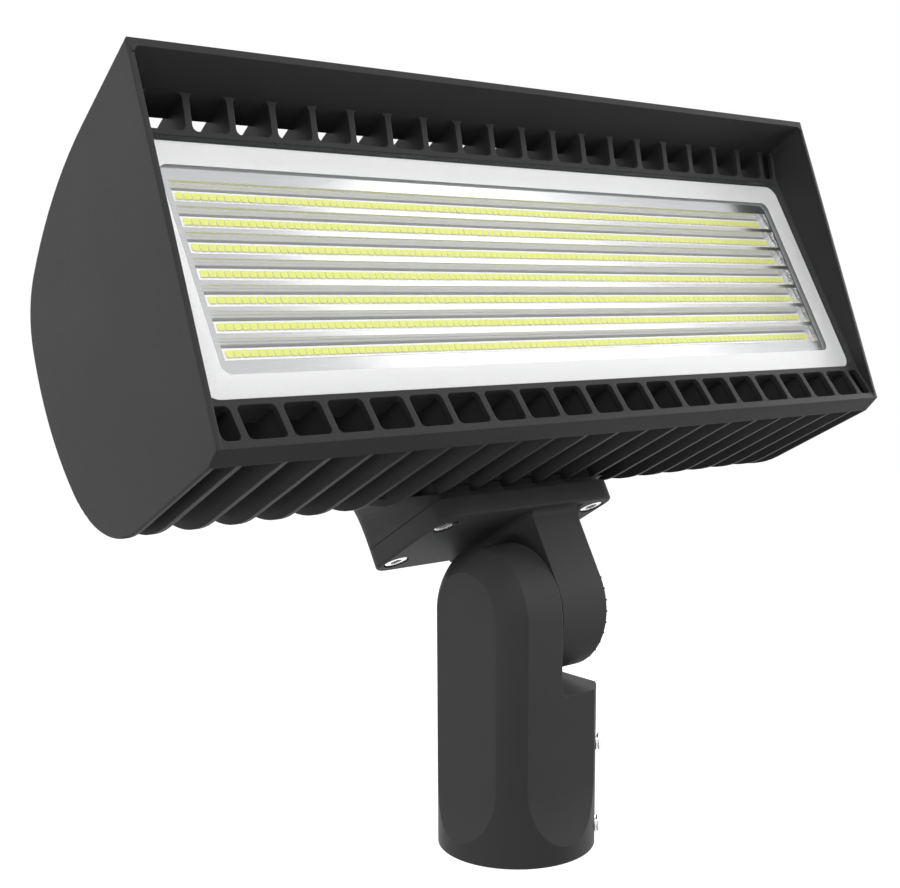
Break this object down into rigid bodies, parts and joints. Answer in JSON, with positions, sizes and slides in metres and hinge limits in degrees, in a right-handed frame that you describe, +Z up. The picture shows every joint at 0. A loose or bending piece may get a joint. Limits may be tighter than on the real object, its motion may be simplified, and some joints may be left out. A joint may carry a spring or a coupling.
{
  "type": "led flood light",
  "caption": "LED flood light with a finned, visored head that tilts on a knuckle above a slipfitter clamped on a pole tenon by set screws.",
  "frame": {"origin": "middle of the slipfitter's lower end, at the mouth of the tenon bore", "axes": "+Z up along the tenon bore, +X along the head, the lens faces -Y and up"},
  "size_m": [0.4376, 0.1722, 0.3975],
  "materials": {
    "casting": "dark grey satin powder coat on die-cast aluminium",
    "white_print": "white fired print on the glass",
    "glass": "clear flat glass",
    "seal": "matt black silicone",
    "reflector": "bright reflector",
    "led_board": "white solder mask on a metal-core strip",
    "driver_case": "plain metal case, potted",
    "steel": "zinc-plated steel",
    "stainless": "stainless steel"
  },
  "bodies": {
    "base": {"slipfitter": "casting", "pivot_bolt": "steel", "flat_washer": "steel", "lock_washer": "steel", "pivot_seal": "seal"},
    "head": {"housing": "casting", "lens_border": "white_print", "lens_glass": "glass", "lens_gasket": "seal", "reflector": "reflector", "driver": "driver_case", "driver_screws": "steel", "bracket_gasket": "seal", "knuckle_bracket": "casting", "bracket_screws": "stainless", "wire_grommet": "seal", "led_board_1": "led_board", "led_board_2": "led_board", "led_board_3": "led_board", "led_board_4": "led_board", "led_board_5": "led_board", "led_board_6": "led_board", "led_board_7": "led_board"},
    "upper_set_screw": {"set_screw_upper": "stainless"},
    "lower_set_screw": {"set_screw_lower": "stainless"}
  },
  "joints": [
    {"name": "head_tilt", "type": "hinge", "parent": "base", "child": "head", "pos_m": [0, 0, 0.1297], "axis": [1, 0, 0], "range_deg": [-60, 120]},
    {"name": "upper_set_screw_feed", "type": "slide", "parent": "base", "child": "upper_set_screw", "axis": [-0.7071, 0.7071, 0], "range_m": [0, 0.008]},
    {"name": "lower_set_screw_feed", "type": "slide", "parent": "base", "child": "lower_set_screw", "axis": [-0.7071, 0.7071, 0], "range_m": [0, 0.008]}
  ]
}
